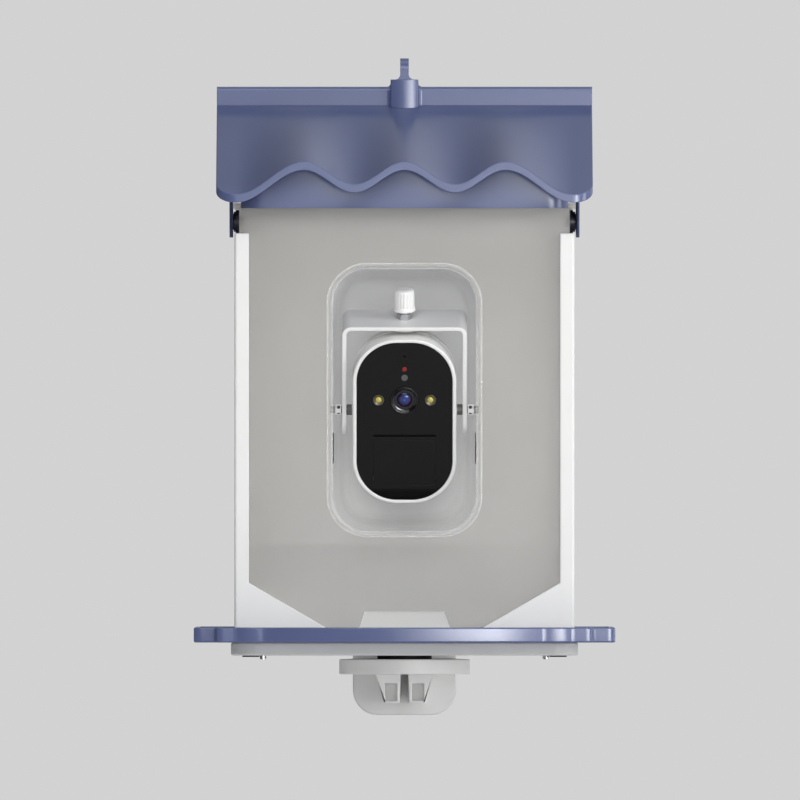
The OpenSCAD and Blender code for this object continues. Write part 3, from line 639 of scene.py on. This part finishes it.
def spot_lamps():
    bezels = bmesh.new()
    domes = bmesh.new()
    bezel = [(0, -16.4), (3, -16.4), (3, -18.7), (2.8, -18.8), (2.3, -18.1), (0, -18)]
    dome = [(1.7 * math.cos(a), -18 - 1.1 * math.sin(a)) for a in (math.pi / 16 * i for i in range(9))]
    for side in (-1, 1):
        place = tilted @ Matrix.Translation(mm(side * 14.3, 0, lens_up))
        turned(bezels, bezel, place, 48)
        turned(domes, [(0, -17.8), (1.7, -17.8)] + dome, place, 32)
    finished(bezels, "lamp_bezels", "spot_lamps", olive)
    finished(domes, "lamp_domes", "spot_lamps", finishes["lamp_amber"])


def motion_window():
    """The motion sensor's window, with only a hairline round it."""
    pane_w, pane_h, wider = 34, 26, 0.26
    bm = copied("motion_window")
    middle = sum((v.co for v in bm.verts), Vector()) / len(bm.verts)
    level = tilted.to_3x3().to_4x4()
    grown = Matrix.Diagonal((1 + wider / pane_w, 1, 1 + wider / pane_h, 1))
    grown = level @ grown @ level.inverted()
    bmesh.ops.transform(bm, matrix=grown, space=Matrix.Translation(-middle), verts=bm.verts[:])
    soften(bm, 0.04 * MM)
    finished(bm, "motion_pane", "motion_window", finishes["black_gloss"])


def camera_face():
    """The face plate, cut at its lower groove: the chin below is duller and darker; the long slit's recessed
    faces take the same finish as painted shade.
    """
    slit, groove = (camera_mid - drop / math.cos(looks_down) * MM for drop in (7.9, 37.6))
    cut_at = tilted @ Vector((0, 0, groove))
    up = tilted.to_3x3() @ Vector((0, 0, 1))
    for name, finish, side in (("face_main", finishes["black_gloss"], 1), ("face_chin", chin_black_and_slit_shade, -1)):
        bm = copied("camera_face")
        everything = bm.verts[:] + bm.edges[:] + bm.faces[:]
        cut = bmesh.ops.bisect_plane(
            bm, geom=everything, plane_co=cut_at, plane_no=up * side, clear_inner=True)["geom_cut"]
        bmesh.ops.edgenet_fill(bm, edges=[e for e in cut if isinstance(e, bmesh.types.BMEdge)])
        bmesh.ops.recalc_face_normals(bm, faces=bm.faces[:])
        soften(bm, 0.06 * MM)
        for face in bm.faces:
            spot = tilted.inverted() @ face.calc_center_median()
            recessed = spot.y > face_y + 0.2 * MM
            # Recessed faces of the slit get the darker finish: painted shade in the groove.
            if recessed and abs(spot.z - slit) < 0.7 * MM and abs(spot.x) < 18 * MM:
                face.material_index = 1
        finished(bm, name, "camera_face", finish).data.materials.append(chin_black_and_slit_shade)


camera_rim()
camera_dome()
camera_face()
lens_ring()
spot_lamps()
motion_window()
softened("yoke", 0.5 * MM, finishes["white_mount"])
softened("thumb_knob", 0.25 * MM, finishes["white_mount"], 50, 2)


# Studio: floor, world, lamps and the camera

def floor():
    floor_half, floor_z = 1.6, -0.16
    bm = bmesh.new()
    bmesh.ops.create_grid(bm, x_segments=1, y_segments=1, size=floor_half)
    bmesh.ops.translate(bm, verts=bm.verts[:], vec=(0, 0, floor_z))
    mesh = bpy.data.meshes.new("studio_floor")
    bm.to_mesh(mesh)
    bm.free()
    mesh.materials.append(moulded("studio_floor", (0.8, 0.8, 0.8), 0.8, drift=0.02))
    piece = bpy.data.objects.new("studio_floor", mesh)
    bpy.context.scene.collection.objects.link(piece)


def studio_world():
    """A pale grey room for what the camera sees, a room darker to the left for gloss, and a dim fill."""
    world = bpy.data.worlds.new("studio")
    bpy.context.scene.world = world
    world.use_nodes = True
    tree = world.node_tree
    tree.nodes.clear()
    out = tree.nodes.new("ShaderNodeOutputWorld")
    ray = tree.nodes.new("ShaderNodeLightPath")
    fill = tree.nodes.new("ShaderNodeBackground")
    fill.inputs["Color"].default_value = (0.98, 0.99, 1.0, 1)
    fill.inputs["Strength"].default_value = 0.13
    backdrop = tree.nodes.new("ShaderNodeBackground")
    backdrop.inputs["Color"].default_value = (0.645, 0.645, 0.645, 1)
    room = tree.nodes.new("ShaderNodeBackground")
    coords = tree.nodes.new("ShaderNodeTexCoord")
    split = tree.nodes.new("ShaderNodeSeparateXYZ")
    tree.links.new(coords.outputs["Generated"], split.inputs["Vector"])
    behind = tree.nodes.new("ShaderNodeMapRange")
    behind.inputs["From Min"].default_value = -0.1
    behind.inputs["From Max"].default_value = 0.4
    tree.links.new(split.outputs["Y"], behind.inputs["Value"])
    wall = tree.nodes.new("ShaderNodeBackground")
    for side, left, right, dark, pale in ((room, -0.6, 0.7, 0.04, 0.5), (wall, -0.5, 0.5, 0.1, 0.9)):
        sweep = tree.nodes.new("ShaderNodeMapRange")
        sweep.inputs["From Min"].default_value = left
        sweep.inputs["From Max"].default_value = right
        sweep.inputs["To Min"].default_value = dark
        sweep.inputs["To Max"].default_value = pale
        tree.links.new(split.outputs["X"], sweep.inputs["Value"])
        tree.links.new(sweep.outputs["Result"], side.inputs["Color"])
    around = tree.nodes.new("ShaderNodeMixShader")
    tree.links.new(behind.outputs["Result"], around.inputs[0])
    tree.links.new(room.outputs[0], around.inputs[1])
    tree.links.new(wall.outputs[0], around.inputs[2])
    seen = tree.nodes.new("ShaderNodeMath")
    seen.operation = "MAXIMUM"
    tree.links.new(ray.outputs["Is Camera Ray"], seen.inputs[0])
    tree.links.new(ray.outputs["Is Transmission Ray"], seen.inputs[1])
    gloss = tree.nodes.new("ShaderNodeMixShader")
    tree.links.new(ray.outputs["Is Glossy Ray"], gloss.inputs[0])
    tree.links.new(fill.outputs[0], gloss.inputs[1])
    tree.links.new(around.outputs[0], gloss.inputs[2])
    direct = tree.nodes.new("ShaderNodeMixShader")
    tree.links.new(seen.outputs[0], direct.inputs[0])
    tree.links.new(gloss.outputs[0], direct.inputs[1])
    tree.links.new(backdrop.outputs[0], direct.inputs[2])
    tree.links.new(direct.outputs[0], out.inputs["Surface"])


def softbox(name, azimuth, elevation, width, height, radiance, shine=True, light=True):
    """A rectangular lamp round the object, its azimuth to the right of the front and both angles in degrees.
    A card only shines in gloss, a fill only lights."""
    lamp = bpy.data.lights.new(name, "AREA")
    lamp.shape = "RECTANGLE"
    lamp.size = width
    lamp.size_y = height
    lamp.energy = radiance * math.pi * width * height
    target, distance = Vector((0, -0.11, 0.1)), 2.4
    a, e = math.radians(azimuth), math.radians(elevation)
    way = Vector((math.sin(a) * math.cos(e), -math.cos(a) * math.cos(e), math.sin(e)))
    piece = bpy.data.objects.new(name, lamp)
    piece.location = target + way * distance
    piece.rotation_euler = (-way).to_track_quat("-Z", "Y").to_euler()
    piece.visible_glossy = shine
    piece.visible_diffuse = light
    bpy.context.scene.collection.objects.link(piece)


def photo_camera():
    """Far off and all but level, with 440 mm of the object's plane across the picture."""
    across, plane_y = 0.44, -0.15
    distance = 19.5
    middle_x, middle_z = -2.475 * MM, 112.7 * MM
    eye_z = 50 * MM
    lens = bpy.data.cameras.new("photo_camera")
    lens.lens = lens.sensor_width * distance / across
    lens.clip_end = 2 * distance + 1
    piece = bpy.data.objects.new("photo_camera", lens)
    piece.location = (middle_x, plane_y - distance, eye_z)
    piece.rotation_euler = (math.radians(90) + math.atan2(middle_z - eye_z, distance), 0, 0)
    bpy.context.scene.collection.objects.link(piece)
    bpy.context.scene.camera = piece


floor()
studio_world()
for step, radiance in enumerate((2.4, 4.6, 8.0, 12.0, 16.5, 19.5, 18.5, 9.0, 2.0)):
    softbox("front_card_" + str(step), 4.5 * step + 0.3, 1, 0.19, 0.62, radiance, light=False)
softbox("front_panel", 0, 6, 1.3, 1.2, 2.6, shine=False)
softbox("high_panel", 0, 30, 1.8, 1.0, 3.9)
softbox("top_panel", 0, 84, 1.4, 1.2, 1.2)
softbox("side_panel", 68, 4, 0.9, 1.3, 5.5)
softbox("right_panel", 60, 24, 1.0, 1.0, 2.6, shine=False)
softbox("back_panel", 180, 12, 1.6, 1.0, 2.2, shine=False)
photo_camera()
bpy.context.scene.view_settings.view_transform = "Standard"
